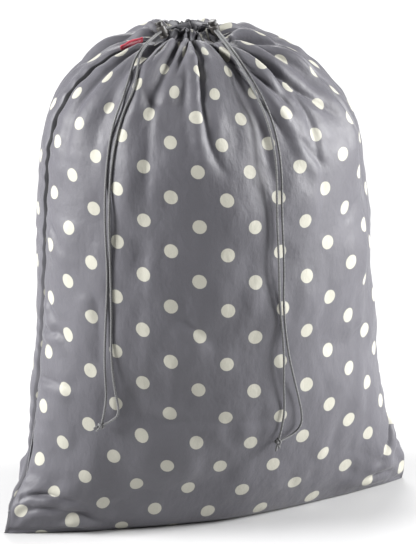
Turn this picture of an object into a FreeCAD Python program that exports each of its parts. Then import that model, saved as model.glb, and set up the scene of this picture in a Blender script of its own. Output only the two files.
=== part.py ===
import FreeCAD, Part
import math
import os

from FreeCAD import Vector

# Filled drawstring laundry bag, standing on its base. Millimetres, +Z up, the front faces -Y.
# The origin is on the floor, under the middle of the bag.

# ---- Driving dimensions ----
CLOTH = 2.0                # wall that stands in for the thin cloth
TIP_POINTS = 11            # points along half of a cross-section
CORD_D = 2.6
SEAM_FIN_DEPTH = 8.0       # how far a bound seam allowance stands into the bag
SEAM_FIN_HALF = 1.0
SEAM_FIN_GAP = 3.0
SEAM_FIN_STOP = 4          # the side bindings end this many levels below the neck
BASE_BINDING_INSET = 27.0  # from a bag corner to the end of the base binding
BASE_BINDING_GAP = 0.3

# Cross-sections of the filled bag, from the floor to the neck:
# height, half width, half depth, roundness (2 is an ellipse, less is a pointed lens), centre x, centre y
LEVELS = [
    (0, 247, 50, 1.35, 0, 0),
    (25, 247, 73, 1.45, 0, 0),
    (80, 222, 101, 1.7, 0, 0),
    (150, 210, 125, 1.85, 0, 0),
    (230, 199, 140, 1.95, 0, 0),
    (310, 193, 146, 2, 0, 0),
    (380, 189, 146, 2, 0, 0),
    (440, 181, 138, 2, -1, 0),
    (482, 166, 126, 2, -4, 1),
    (512, 144, 107, 2, -8, 2),
    (535, 116, 89, 2, -11, 4),
    (547, 88, 69, 2, -14, 5),
    (553, 58, 46, 2, -17, 6),
    (550.6, 29, 21, 2, -20, 8),
    (553, 24, 16, 2, -20, 8),
]

# Hem: the gathered cord channels, a ring with straight sides and round ends
MOUTH_X = -20.0
MOUTH_Y = 8.0
HEM_BOTTOM = 553.2
HEM_TOP = 565.0
HEM_OUTER_R = 16.0
HEM_INNER_R = 6.0
HEM_STRAIGHT_HALF = 8.0
TUNNEL_IN_R = 8.2
TUNNEL_OUT_R = 13.8
TUNNEL_BOTTOM = 554.6
TUNNEL_TOP = 563.4
SLIT_HALF = 5.5
CORD_RING_R = 11.0
LEFT_RING_Z = 560.6
RIGHT_RING_Z = 557.0

# Cord lock
BARREL_R = 5.5
BARREL_BELOW = 8.5         # from the cord hole's centre to the barrel's closed end
BARREL_ABOVE = 5.0         # from the cord hole's centre to the barrel's mouth
BARREL_FLOOR = 1.1
BARREL_RIM = 0.8           # rounding of the barrel's rims
GROOVE_OUT = 0.5           # finger groove: its ring's radius beyond the barrel's, its section and its height
GROOVE_R = 1.0
GROOVE_Z = -5.2
BORE_R = 4.0
PLUNGER_R = 3.95
PRESS = 3.0                # travel of the plunger
CAP_R = 4.8
CAP_H = 2.5
CAP_ROUND = 1.4
CAP_CLEARANCE = 0.3        # under the cap when the plunger is pressed home
HOLE_W = 5.8
HOLE_H = 3.0
HOLE_ROUND = HOLE_H / 2 - 0.05
SPRING_WIRE = 0.4
SPRING_R = 2.8
SPRING_TURNS = 3
SPRING_CORNERS = 8
SPRING_GAP = 0.05
PLUNGER_FOOT = 1.5         # thickness of the plunger under its cord hole
STRAND_SIDE = CORD_D / 2 + 0.05     # the two strands of a side run this far each side of the hole's middle

LEFT_HOLE = Vector(-52.3, 2.6, 566)
LEFT_RUN = Vector(-0.78, -0.61, -0.12).normalize()
LEFT_LEAN = Vector(-0.20, 0.35, 0.88)
RIGHT_HOLE = Vector(5.3, -8.9, 565.8)
RIGHT_RUN = Vector(-0.08, -0.99, -0.12).normalize()
RIGHT_LEAN = Vector(-0.28, 0.39, 0.88)
BEHIND_HOLE = 7.0          # the strands start this far behind the middle of the lock
STRAIGHT = 56.0            # length of the straight first run

# Side tag
TAG_L = 27.0
TAG_OUT = 5.2
TAG_THICK = 2.6
TAG_GAP = 1.0
TAG_FOLD = 0.8             # thickness left at the fold
TAG_LEAN = 38              # degrees towards the back, then along the seam's slope
TAG_SLOPE = -16
TAG_FOOT = Vector(-88, 3.6, 553.4)

KNOT_R = 4.4


# ---- Helpers ----
def half_curve(width, depth, roundness, cx, cy, z, side):
    """Open curve over one half of a cross-section, from the left seam to the right seam."""
    points = []
    for i in range(TIP_POINTS):
        angle = math.pi * i / (TIP_POINTS - 1)
        c = abs(math.cos(angle)) ** (2 / roundness)
        s = abs(math.sin(angle)) ** (2 / roundness) if 0 < i < TIP_POINTS - 1 else 0
        sign = -1 if i <= (TIP_POINTS - 1) / 2 else 1
        points.append(Vector(cx + sign * width * c, cy + side * depth * s, z))
    curve = Part.BSplineCurve()
    curve.interpolate(points)
    return curve.toShape()


def inner_level(index):
    """The cross-section one cloth thickness inside the outer one, measured square to the wall."""
    z, a, b, p, cx, cy = LEVELS[index]
    below = LEVELS[max(index - 1, 0)]
    above = LEVELS[min(index + 1, len(LEVELS) - 1)]
    da = above[1] - below[1]
    dz = above[0] - below[0]
    size = math.hypot(da, dz)
    flat_end = index in (0, len(LEVELS) - 1)
    shift = CLOTH if flat_end else CLOTH * dz / size
    drop = 0 if flat_end else -CLOTH * da / size
    return (z - drop, a - shift, b - shift, p, cx, cy)


def panel_section(index, side):
    z, a, b, p, cx, cy = LEVELS[index]
    zi, ai, bi, pi, cxi, cyi = inner_level(index)
    outer = half_curve(a, b, p, cx, cy, z, side)
    inner = half_curve(ai, bi, pi, cxi, cyi, zi, side)
    right = Part.LineSegment(Vector(cx + a, cy, z), Vector(cxi + ai, cyi, zi)).toShape()
    left = Part.LineSegment(Vector(cxi - ai, cyi, zi), Vector(cx - a, cy, z)).toShape()
    return Part.Wire([outer, right, inner.reversed(), left])


def panel(side):
    """One half of the bag: side is -1 for the front and 1 for the back."""
    wall = Part.makeLoft([panel_section(i, side) for i in range(len(LEVELS))], True, False)
    z, a, b, p, cx, cy = LEVELS[0]
    inset = CLOTH / 2
    edge = half_curve(a - inset, b - inset, p, cx, cy, z, side)
    chord = Part.LineSegment(Vector(cx + a - inset, cy, z), Vector(cx - a + inset, cy, z)).toShape()
    base = Part.Face(Part.Wire([edge, chord])).extrude(Vector(0, 0, CLOTH))
    return wall.fuse(base).removeSplitter()


def side_binding(side):
    """Bound seam allowance, standing into the bag along a side seam. side is -1 left, 1 right."""
    wires = []
    for index in range(1, len(LEVELS) - SEAM_FIN_STOP):
        z, a, b, p, cx, cy = inner_level(index)
        near = cx + side * (a - SEAM_FIN_GAP)
        far = cx + side * (a - SEAM_FIN_GAP - SEAM_FIN_DEPTH)
        corners = [(near, -SEAM_FIN_HALF), (far, -SEAM_FIN_HALF), (far, SEAM_FIN_HALF), (near, SEAM_FIN_HALF)]
        ring = [Vector(x, cy + y, z) for x, y in corners]
        wires.append(Part.makePolygon(ring + ring[:1]))
    return Part.makeLoft(wires, True, False)


def base_binding():
    half = LEVELS[0][1] - BASE_BINDING_INSET
    return Part.makeBox(2 * half, 2 * SEAM_FIN_HALF, SEAM_FIN_DEPTH,
                        Vector(-half, -SEAM_FIN_HALF, CLOTH + BASE_BINDING_GAP))


def oval(radius, bottom, top):
    """Upright block with straight sides and round ends, round the mouth."""
    height = top - bottom
    left = Vector(MOUTH_X - HEM_STRAIGHT_HALF, MOUTH_Y, bottom)
    right = Vector(MOUTH_X + HEM_STRAIGHT_HALF, MOUTH_Y, bottom)
    middle = Part.makeBox(2 * HEM_STRAIGHT_HALF, 2 * radius, height, left - Vector(0, radius, 0))
    block = middle.fuse([Part.makeCylinder(radius, height, left), Part.makeCylinder(radius, height, right)])
    return block.removeSplitter()


def hem_channel(side):
    """Half of the gathered hem, with the tunnel for the cords. side is -1 front, 1 back."""
    ring = oval(HEM_OUTER_R, HEM_BOTTOM, HEM_TOP).cut(oval(HEM_INNER_R, HEM_BOTTOM - 1, HEM_TOP + 1))
    tunnel = oval(TUNNEL_OUT_R, TUNNEL_BOTTOM, TUNNEL_TOP).cut(
        oval(TUNNEL_IN_R, TUNNEL_BOTTOM - 1, TUNNEL_TOP + 1))
    ring = ring.cut(tunnel)
    reach = HEM_STRAIGHT_HALF + HEM_OUTER_R + 1
    depth = HEM_OUTER_R + 1 - SLIT_HALF
    low_y = MOUTH_Y + SLIT_HALF if side > 0 else MOUTH_Y - SLIT_HALF - depth
    half = Part.makeBox(2 * reach, depth, HEM_TOP - HEM_BOTTOM + 2,
                        Vector(MOUTH_X - reach, low_y, HEM_BOTTOM - 1))
    return ring.common(half)


def tube(name, points, diameter):
    """Round tube along straight runs joined by arcs, each arc as large as its two runs allow."""
    count = len(points)
    runs = [(points[i + 1] - points[i]).Length for i in range(count - 1)]
    edges = []
    radii = []
    start = points[0]
    length = 0
    for i in range(1, count - 1):
        back = (points[i - 1] - points[i]).normalize()
        ahead = (points[i + 1] - points[i]).normalize()
        turn = math.pi - back.getAngle(ahead)
        setback = 0.45 * min(runs[i - 1], runs[i])
        radius = setback / math.tan(turn / 2)
        first = points[i] + back * setback
        last = points[i] + ahead * setback
        bisector = (back + ahead).normalize()
        middle = points[i] + bisector * (math.hypot(radius, setback) - radius)
        edges.append(Part.LineSegment(start, first).toShape())
        edges.append(Part.Arc(first, middle, last).toShape())
        length += (first - start).Length + radius * turn
        radii.append(radius)
        start = last
    edges.append(Part.LineSegment(start, points[-1]).toShape())
    length += (points[-1] - start).Length
    path = Part.Wire(edges)
    circle = Part.Circle(points[0], points[1] - points[0], diameter / 2)
    solid = path.makePipeShell([Part.Wire(circle.toShape())], True, True, 2)
    ideal = math.pi * diameter ** 2 / 4 * length
    print(name, "length", round(length, 1), "volume ratio", round(solid.Volume / ideal, 4),
          "radii", [round(r, 1) for r in radii], "runs", [round(r, 1) for r in runs])
    return solid


def ring_corners(angles, z):
    """Corners of the cord's way round inside the hem, about the hem's round ends."""
    reach = CORD_RING_R / math.cos(math.radians(22.5))
    corners = []
    for angle in angles:
        turn = math.radians(angle)
        end = HEM_STRAIGHT_HALF if math.cos(turn) > 0 else -HEM_STRAIGHT_HALF
        corners.append(Vector(MOUTH_X + end + reach * math.cos(turn), MOUTH_Y + reach * math.sin(turn), z))
    return corners


class Lock:
    """A cord lock: hole is the middle of its cord hole, run is the cord's way through it."""

    def __init__(self, hole, run, lean):
        self.hole = hole
        self.run = run
        self.axis = (lean - run * lean.dot(run)).normalize()
        self.side = run.cross(self.axis)

    def place(self, shape):
        """Moves a shape from the lock's own frame (x side, y run, z axis) to its place."""
        frame = FreeCAD.Matrix(
            self.side.x, self.run.x, self.axis.x, self.hole.x,
            self.side.y, self.run.y, self.axis.y, self.hole.y,
            self.side.z, self.run.z, self.axis.z, self.hole.z,
            0, 0, 0, 1)
        placed = shape.copy()
        placed.Placement = FreeCAD.Placement(frame).multiply(shape.Placement)
        return placed

    def strand_start(self, sideways):
        return self.hole - self.run * BEHIND_HOLE + self.side * sideways


def cord_slot(low, high):
    """Cutter along the cord's way, with rounded corners."""
    reach = 2 * BARREL_R
    box = Part.makeBox(HOLE_W, reach, high - low, Vector(-HOLE_W / 2, -reach / 2, low))
    edges = [e for e in box.Edges if abs(e.tangentAt(e.FirstParameter).y) > 0.9]
    return box.makeFillet(HOLE_ROUND, edges)


def lock_barrel():
    bottom = -BARREL_BELOW
    body = Part.makeCylinder(BARREL_R, BARREL_BELOW + BARREL_ABOVE, Vector(0, 0, bottom))
    rims = [e for e in body.Edges if e.Closed]
    body = body.makeFillet(BARREL_RIM, rims)
    groove = Part.makeTorus(BARREL_R + GROOVE_OUT, GROOVE_R, Vector(0, 0, GROOVE_Z))
    bore = Part.makeCylinder(BORE_R, BARREL_BELOW + BARREL_ABOVE, Vector(0, 0, bottom + BARREL_FLOOR))
    return body.cut([bore, groove, cord_slot(-HOLE_H / 2, HOLE_H / 2)])


def lock_plunger():
    slot_low = -HOLE_H / 2
    foot = slot_low - PLUNGER_FOOT
    cap_low = BARREL_ABOVE + PRESS + CAP_CLEARANCE
    stem = Part.makeCylinder(PLUNGER_R, cap_low - foot, Vector(0, 0, foot))
    cap = Part.makeCylinder(CAP_R, CAP_H, Vector(0, 0, cap_low))
    top_rim = [e for e in cap.Edges if e.Closed and e.BoundBox.ZMin > cap_low + CAP_H / 2]
    cap = cap.makeFillet(CAP_ROUND, top_rim)
    return stem.fuse(cap).removeSplitter().cut(cord_slot(slot_low, HOLE_H / 2 + PRESS))


def lock_spring(name):
    """Coil of wire between the barrel's floor and the plunger's foot, as short straight runs and arcs."""
    low = -BARREL_BELOW + BARREL_FLOOR + SPRING_GAP + SPRING_WIRE / 2
    high = -HOLE_H / 2 - PLUNGER_FOOT - SPRING_GAP - SPRING_WIRE / 2
    count = SPRING_TURNS * SPRING_CORNERS
    points = []
    for i in range(count + 1):
        turn = 2 * math.pi * i / SPRING_CORNERS
        height = low + (high - low) * i / count
        points.append(Vector(SPRING_R * math.cos(turn), SPRING_R * math.sin(turn), height))
    return tube(name, points, SPRING_WIRE)


def knot(centre, tails):
    """Overhand knot in two strands, with short cut ends."""
    ball = Part.makeSphere(KNOT_R, centre)
    parts = []
    for tip in tails:
        way = tip - centre
        parts.append(Part.makeCylinder(CORD_D / 2, way.Length, centre, way))
    return ball.fuse(parts).removeSplitter()


def side_tag():
    """Folded ribbon that stands out of the left side seam and leans over."""
    outer = Part.makeBox(TAG_L, TAG_THICK, TAG_OUT, Vector(-TAG_L / 2, -TAG_THICK / 2, 0))
    fold = [e for e in outer.Edges if abs(e.CenterOfMass.z - TAG_OUT) < 0.01 and e.Length > TAG_L - 1]
    outer = outer.makeFillet(TAG_THICK / 2 - 0.1, fold)
    gap = Part.makeBox(TAG_L + 2, TAG_GAP, TAG_OUT - TAG_FOLD + 1, Vector(-TAG_L / 2 - 1, -TAG_GAP / 2, -1))
    tag = outer.cut(gap)
    tag.rotate(Vector(0, 0, 0), Vector(1, 0, 0), TAG_LEAN)
    tag.rotate(Vector(0, 0, 0), Vector(0, 1, 0), TAG_SLOPE)
    tag.translate(TAG_FOOT)
    return tag


# ---- Cord routes ----
left_lock = Lock(LEFT_HOLE, LEFT_RUN, LEFT_LEAN)
right_lock = Lock(RIGHT_HOLE, RIGHT_RUN, RIGHT_LEAN)


def strand_route(lock, sideways, points):
    start = lock.strand_start(sideways)
    return [start, start + lock.run * STRAIGHT] + [Vector(*p) for p in points]


LEFT_KNOT = Vector(-159, -85, 146)
RIGHT_KNOT = Vector(39, -119, 113)

left_outer_route = strand_route(left_lock, STRAND_SIDE, [
    (-122, -71, 521), (-142, -79.5, 483), (-152, -87, 432), (-155, -92, 376),
    (-153, -95, 320), (-156, -94, 264), (-157, -92, 214), (-153, -89, 172), LEFT_KNOT])
left_inner_route = strand_route(left_lock, -STRAND_SIDE, [
    (-110, -72, 527), (-132, -81.5, 494), (-146.5, -91, 447), (-151, -94, 394), (-151, -97, 338),
    (-150, -98, 282), (-151, -97, 228), (-147, -97, 190), (-141, -96, 164), (-146, -92, 153), LEFT_KNOT])
right_inner_route = strand_route(right_lock, STRAND_SIDE, [
    (9, -106, 527), (21, -127, 490), (25, -145, 445), (23, -150, 392),
    (25, -152, 336), (27, -151, 280), (35, -145, 232), (38, -137, 186), (44, -127, 142), RIGHT_KNOT])
right_outer_route = strand_route(right_lock, -STRAND_SIDE, [
    (15, -105, 525), (27, -127, 489), (31, -144.5, 443), (29, -150, 388),
    (32, -151, 332), (32, -149, 276), (41, -143, 222), (55, -134, 178), (67, -123, 142),
    (66, -119, 126), (54, -118, 117), RIGHT_KNOT])

left_loop_route = [
    left_lock.strand_start(STRAND_SIDE), left_lock.strand_start(STRAND_SIDE) - left_lock.run * 4.4,
    Vector(-38.2, 12.3, 561.2),
    *ring_corners([112.5, 67.5, 22.5, -22.5, -67.5, -112.5, -157.5], LEFT_RING_Z),
    Vector(-38.6, 7.6, 561.2), left_lock.strand_start(-STRAND_SIDE) - left_lock.run * 4.4,
    left_lock.strand_start(-STRAND_SIDE)]
right_loop_route = [
    right_lock.strand_start(-STRAND_SIDE), right_lock.strand_start(-STRAND_SIDE) - right_lock.run * 4.5,
    Vector(4.8, 9.5, 562), Vector(-1.0, 12.4, 557.4)] + ring_corners(
    [67.5, 112.5, 157.5, -157.5, -112.5, -67.5, -22.5], RIGHT_RING_Z) + [
    Vector(1.4, 7.2, 557.6), right_lock.strand_start(STRAND_SIDE) - right_lock.run * 4.4,
    right_lock.strand_start(STRAND_SIDE)]

# ---- Nodes ----
nodes = {
    "front_panel": panel(-1),
    "back_panel": panel(1),
    "left_side_binding": side_binding(-1),
    "right_side_binding": side_binding(1),
    "base_binding": base_binding(),
    "front_hem_channel": hem_channel(-1),
    "back_hem_channel": hem_channel(1),
    "side_tag": side_tag(),
    "left_knot": knot(LEFT_KNOT, [LEFT_KNOT + Vector(-6, -1, -6), LEFT_KNOT + Vector(-7.5, 0, -2)]),
    "right_knot": knot(RIGHT_KNOT, [RIGHT_KNOT + Vector(-2, 0, -11), RIGHT_KNOT + Vector(2, 0, -9)]),
    "left_drawcord_loop": tube("left_drawcord_loop", left_loop_route, CORD_D),
    "right_drawcord_loop": tube("right_drawcord_loop", right_loop_route, CORD_D),
}

strands = {
    "left_strand_outer": (left_outer_route, "left_knot"),
    "left_strand_inner": (left_inner_route, "left_knot"),
    "right_strand_inner": (right_inner_route, "right_knot"),
    "right_strand_outer": (right_outer_route, "right_knot"),
}
for name, (route, knot_name) in strands.items():
    nodes[name] = tube(name, route, CORD_D).cut(nodes[knot_name])

for side_name, lock in (("left", left_lock), ("right", right_lock)):
    nodes[side_name + "_lock_barrel"] = lock.place(lock_barrel())
    nodes[side_name + "_lock_plunger"] = lock.place(lock_plunger())
    nodes[side_name + "_lock_spring"] = lock.place(lock_spring(side_name + "_lock_spring"))
    print(side_name, "lock slides along", lock.run, "and is pressed along", lock.axis * -1)

os.makedirs("parts", exist_ok=True)
for name, shape in nodes.items():
    solids = shape.Solids
    if len(solids) == 1:
        shape = solids[0]
    print(name, "solids", len(solids), "valid", shape.isValid(), "volume", round(shape.Volume))
    shape.exportStep("parts/" + name + ".step")
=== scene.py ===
import bpy
import math
import numpy as np
from mathutils import Matrix, Vector


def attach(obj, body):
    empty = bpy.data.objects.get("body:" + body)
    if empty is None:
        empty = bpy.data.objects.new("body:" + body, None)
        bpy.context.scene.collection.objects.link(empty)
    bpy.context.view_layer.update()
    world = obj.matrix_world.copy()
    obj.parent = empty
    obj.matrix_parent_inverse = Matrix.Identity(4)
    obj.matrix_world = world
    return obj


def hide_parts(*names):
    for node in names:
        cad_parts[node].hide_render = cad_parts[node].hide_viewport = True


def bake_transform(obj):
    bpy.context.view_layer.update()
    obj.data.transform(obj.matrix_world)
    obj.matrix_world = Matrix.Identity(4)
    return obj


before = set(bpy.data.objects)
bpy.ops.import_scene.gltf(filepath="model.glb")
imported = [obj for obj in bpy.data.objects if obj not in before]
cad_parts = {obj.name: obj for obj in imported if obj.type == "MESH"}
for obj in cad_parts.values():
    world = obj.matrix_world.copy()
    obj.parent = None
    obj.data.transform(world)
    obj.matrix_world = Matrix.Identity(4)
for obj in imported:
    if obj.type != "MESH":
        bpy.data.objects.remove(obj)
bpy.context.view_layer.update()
scene = bpy.context.scene
MM = 0.001

# ---------------- camera, lights, world
# the photograph's view, from a least-squares fit to the bag's outline, ears, left seam and mouth
CAM_AZ, CAM_EL, CAM_DIST = math.radians(-21.15), math.radians(17.03), 3.7954
LENS, SENSOR = 221.5, 36  # in millimetres
TARGET = Vector((0.0007, -0.0003, 0.28216))
AMBIENT = 0.10


def make_camera():
    data = bpy.data.cameras.new("camera")
    data.lens = LENS
    data.sensor_width = SENSOR
    data.clip_end = 100
    cam = bpy.data.objects.new("camera", data)
    scene.collection.objects.link(cam)
    away = Vector((math.sin(CAM_AZ) * math.cos(CAM_EL),
                   -math.cos(CAM_AZ) * math.cos(CAM_EL), math.sin(CAM_EL)))
    cam.location = TARGET + away * CAM_DIST
    cam.rotation_euler = (-away).to_track_quat("-Z", "Y").to_euler()
    scene.camera = cam


def area_light(name, place, size, energy, aim=TARGET):
    """Round soft light."""
    data = bpy.data.lights.new(name, "AREA")
    data.shape = "DISK"
    data.size = size
    data.energy = energy
    lamp = bpy.data.objects.new(name, data)
    lamp.location = place
    lamp.rotation_euler = (Vector(aim) - Vector(place)).to_track_quat("-Z", "Y").to_euler()
    scene.collection.objects.link(lamp)


make_camera()
area_light("left", (-2.1, 0.20, 1.20), 1.0, 119)
area_light("right", (2.0, -0.95, 1.00), 1.0, 130)
area_light("top", (-0.1, -0.3, 2.7), 1.0, 9)
area_light("back", (0.6, 2.8, 1.8), 1.6, 20)
area_light("floor", (1.0, 2.6, 2.4), 2.0, 105, (1.0, 2.7, 0))
scene.view_settings.view_transform = "Standard"
world = bpy.data.worlds.new("studio")
world.use_nodes = True
world.node_tree.nodes["Background"].inputs["Color"].default_value = (1, 1, 1, 1)
world.node_tree.nodes["Background"].inputs["Strength"].default_value = AMBIENT
scene.world = world


# ---------------- materials
class Nodes:
    """Short calls for building one material's nodes."""

    def __init__(self, name):
        self.mat = bpy.data.materials.new(name)
        self.mat.use_nodes = True
        self.tree = self.mat.node_tree
        self.shader = self.tree.nodes["Principled BSDF"]

    def put(self, value, socket):
        if isinstance(value, bpy.types.NodeSocket):
            self.tree.links.new(value, socket)
        else:
            socket.default_value = value

    def math(self, op, a, b=0.0, c=0.0):
        node = self.tree.nodes.new("ShaderNodeMath")
        node.operation = op
        for socket, value in zip(node.inputs, (a, b, c)):
            self.put(value, socket)
        return node.outputs[0]

    def wave(self, value, period):
        return self.math("SINE", self.math("MULTIPLY", value, 2 * math.pi / period))

    def uv(self, layer):
        node = self.tree.nodes.new("ShaderNodeUVMap")
        node.uv_map = layer
        return node.outputs[0]

    def place(self):
        return self.tree.nodes.new("ShaderNodeTexCoord").outputs["Object"]

    def split(self, vector):
        node = self.tree.nodes.new("ShaderNodeSeparateXYZ")
        self.put(vector, node.inputs[0])
        return node.outputs

    def stretch(self, vector, scale):
        node = self.tree.nodes.new("ShaderNodeMapping")
        self.put(vector, node.inputs["Vector"])
        node.inputs["Scale"].default_value = scale
        return node.outputs[0]

    def noise(self, vector, scale, detail=3.0, rough=0.5):
        node = self.tree.nodes.new("ShaderNodeTexNoise")
        self.put(vector, node.inputs["Vector"])
        node.inputs["Scale"].default_value = scale
        node.inputs["Detail"].default_value = detail
        node.inputs["Roughness"].default_value = rough
        return node.outputs["Fac"]

    def ramp(self, value, low, high, to_low=0, to_high=1, smooth=False):
        node = self.tree.nodes.new("ShaderNodeMapRange")
        node.interpolation_type = "SMOOTHSTEP" if smooth else "LINEAR"
        self.put(value, node.inputs["Value"])
        for key, x in (("From Min", low), ("From Max", high), ("To Min", to_low), ("To Max", to_high)):
            node.inputs[key].default_value = x
        return node.outputs[0]

    def mix(self, factor, a, b):
        node = self.tree.nodes.new("ShaderNodeMix")
        node.data_type = "RGBA"
        self.put(factor, node.inputs[0])
        self.put(a, node.inputs[6])
        self.put(b, node.inputs[7])
        return node.outputs[2]

    def bump(self, height, distance, strength=1.0, after=None):
        node = self.tree.nodes.new("ShaderNodeBump")
        node.inputs["Distance"].default_value = distance
        node.inputs["Strength"].default_value = strength
        self.put(height, node.inputs["Height"])
        if after is not None:
            self.put(after, node.inputs["Normal"])
        return node.outputs[0]

    def set(self, **values):
        for key, value in values.items():
            self.put(value, self.shader.inputs[key.replace("_", " ")])
        return self.mat


PANEL_W = 0.535  # flat width of a panel between its side seams
DOT_PERIOD = 0.0606  # between neighbours in a row
DOT_R = 0.0076
DOT_U, DOT_V = -0.0904, 0.2920  # where a dot sits on the flat cloth
GREY = (0.097, 0.095, 0.109, 1)
GREY_DEEP = (0.079, 0.077, 0.089, 1)
GREY_FIBRE = (0.14, 0.137, 0.153, 1)
CREAM = (0.44, 0.43, 0.365, 1)
CREAM_DEEP = (0.38, 0.37, 0.315, 1)
SEAM_SHADE = (0.012, 0.012, 0.014, 1)
HEM_SHADE = (0.018, 0.018, 0.021, 1)
WEAVE = 0.0009  # from one thread to the next but one
SOFT_EDGE = 0.0003  # half the blur of a dot's edge


def cloth_material():
    """Thin woven cloth with staggered dots, darker down in the side seams and in the hem's gathers."""
    n = Nodes("dotted_cloth")
    flat = n.uv("flat")
    u, v, _ = n.split(flat)
    side = DOT_PERIOD / math.sqrt(2)
    x = n.math("SUBTRACT", u, DOT_U)
    y = n.math("SUBTRACT", v, DOT_V)
    wobble = n.ramp(n.noise(flat, 900, 2), 0, 1, -0.00035, 0.00035)
    a = n.math("MULTIPLY", n.math("ADD", x, y), math.sqrt(0.5))
    b = n.math("MULTIPLY", n.math("SUBTRACT", x, y), math.sqrt(0.5))
    a = n.math("WRAP", a, side / 2, -side / 2)
    b = n.math("WRAP", b, side / 2, -side / 2)
    far = n.math("SQRT", n.math("ADD", n.math("MULTIPLY", a, a), n.math("MULTIPLY", b, b)))
    far = n.math("ADD", far, wobble)
    dot = n.ramp(far, DOT_R - SOFT_EDGE, DOT_R + SOFT_EDGE, 1, 0, True)
    weave = n.math("MULTIPLY", n.wave(u, WEAVE), n.wave(v, WEAVE))
    patches = n.noise(flat, 14, 3)
    fibre = n.noise(n.stretch(flat, (1800, 300, 1)), 1, 2)
    ground = n.mix(n.ramp(patches, 0.3, 0.7), GREY, GREY_DEEP)
    ground = n.mix(n.ramp(fibre, 0.2, 0.8, 0, 0.25), ground, GREY_FIBRE)
    cream = n.mix(n.ramp(patches, 0.3, 0.7, 0, 0.3), CREAM, CREAM_DEEP)
    cream = n.mix(n.ramp(fibre, 0.2, 0.8, 0, 0.12), cream, GREY)
    cut_u, cut_v, _ = n.split(n.uv("cut"))
    edge = n.math("SUBTRACT", PANEL_W / 2, n.math("ABSOLUTE", cut_u))
    high = n.ramp(cut_v, 0.30, 0.48, 0.45, 0.98, True)
    sunk = n.math("MULTIPLY", n.ramp(edge, 0.0046, 0.0063, 1, 0, True), high)
    crinkle = n.noise(n.stretch(flat, (38, 22, 1)), 1, 4, 0.55)
    rough = n.ramp(n.noise(flat, 60, 3), 0.3, 0.7, 0.45, 0.57)
    rough = n.math("ADD", rough, n.math("MULTIPLY", dot, 0.08))
    rough = n.math("ADD", rough, n.math("MULTIPLY", sunk, 0.35))
    normal = n.bump(crinkle, 0.0022)
    normal = n.bump(weave, 0.00005, 0.6, normal)
    tone = n.mix(sunk, n.mix(dot, ground, cream), SEAM_SHADE)
    in_hem = n.ramp(cut_v, NECK_V - 0.004, NECK_V + RIM + 0.004, 0, 0.62, True)
    tone = n.mix(in_hem, tone, HEM_SHADE)
    return n.set(Base_Color=tone, Roughness=rough, Normal=normal,
                 Sheen_Weight=0.12, Sheen_Roughness=0.4, Specular_IOR_Level=0.42)


def woven_material(name, colour, other, scale, rough):
    """Ribbed tape or ribbon, coloured along its ribs."""
    n = Nodes(name)
    place = n.place()
    x, y, z = n.split(place)
    ribs = n.wave(n.math("ADD", x, z), scale)
    cross = n.wave(n.math("SUBTRACT", z, y), scale / 0.7)
    weave = n.math("MULTIPLY", ribs, cross)
    tone = n.mix(n.ramp(n.noise(place, 220, 3), 0.3, 0.7), colour, other)
    tone = n.mix(n.ramp(weave, -1, 1, 0, 0.35), tone, other)
    uneven = n.ramp(n.noise(place, 500, 2), 0.2, 0.8, rough - 0.08, rough + 0.08)
    return n.set(Base_Color=tone, Roughness=uneven, Normal=n.bump(weave, 0.0001), Sheen_Weight=0.2)


CORD_DARK = (0.045, 0.045, 0.047, 1)
CORD_MIDDLE = (0.13, 0.13, 0.133, 1)
CORD_LIGHT = (0.19, 0.19, 0.19, 1)
BRAID_YARNS = 8  # yarns each way round the cord, as its colour shows them
HEM_BRAID = 0.0012  # the braid's period on a cord without UV


def cord_material(name, layer=None):
    """Braided cord. Its braid follows the piece's own UV if it has one."""
    n = Nodes(name)
    place = n.uv(layer) if layer else n.place()
    x, y, z = n.split(place)
    if layer:
        around = n.math("MULTIPLY", x, BRAID_YARNS)
        one, two, period = n.math("ADD", around, y), n.math("SUBTRACT", around, y), 1
    else:
        one, two, period = n.math("ADD", x, z), n.math("SUBTRACT", y, z), HEM_BRAID
    braid = n.math("MAXIMUM", n.wave(one, period), n.wave(two, period))
    strands = n.noise(n.place(), 1400, 2)
    tone = n.mix(n.ramp(braid, -0.6, 1, 0, 1, True), CORD_DARK, CORD_MIDDLE)
    tone = n.mix(n.ramp(strands, 0.3, 0.7, 0, 0.35), tone, CORD_LIGHT)
    return n.set(Base_Color=tone, Roughness=n.ramp(strands, 0.2, 0.8, 0.5, 0.7), Sheen_Weight=0.3,
                 Normal=n.bump(braid, 0.00012))


def plastic_material(name, colour, other, rough):
    """Moulded plastic, faintly cloudy."""
    n = Nodes(name)
    place = n.place()
    grain = n.noise(place, 2600, 3)
    cloud = n.noise(place, 160, 3)
    tone = n.mix(n.ramp(cloud, 0.3, 0.7), colour, other)
    return n.set(Base_Color=tone, Roughness=n.ramp(cloud, 0.3, 0.7, rough - 0.06, rough + 0.08),
                 Normal=n.bump(grain, 0.00004), Specular_IOR_Level=0.5)


def steel_material():
    """Drawn spring wire."""
    n = Nodes("spring_steel")
    drawn = n.noise(n.stretch(n.place(), (900, 900, 4000)), 1, 2)
    tone = n.mix(n.ramp(drawn, 0.3, 0.7), (0.5, 0.5, 0.52, 1), (0.62, 0.62, 0.63, 1))
    rough = n.ramp(drawn, 0.3, 0.7, 0.25, 0.4)
    return n.set(Base_Color=tone, Metallic=1.0, Roughness=rough, Normal=n.bump(drawn, 0.00002))


def floor_material():
    """Plain pale floor."""
    n = Nodes("studio_floor")
    clouds = n.ramp(n.noise(n.place(), 3, 3), 0.3, 0.7)
    tone = n.mix(clouds, (0.50, 0.50, 0.50, 1), (0.485, 0.485, 0.49, 1))
    return n.set(Base_Color=tone, Roughness=0.9)


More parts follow.
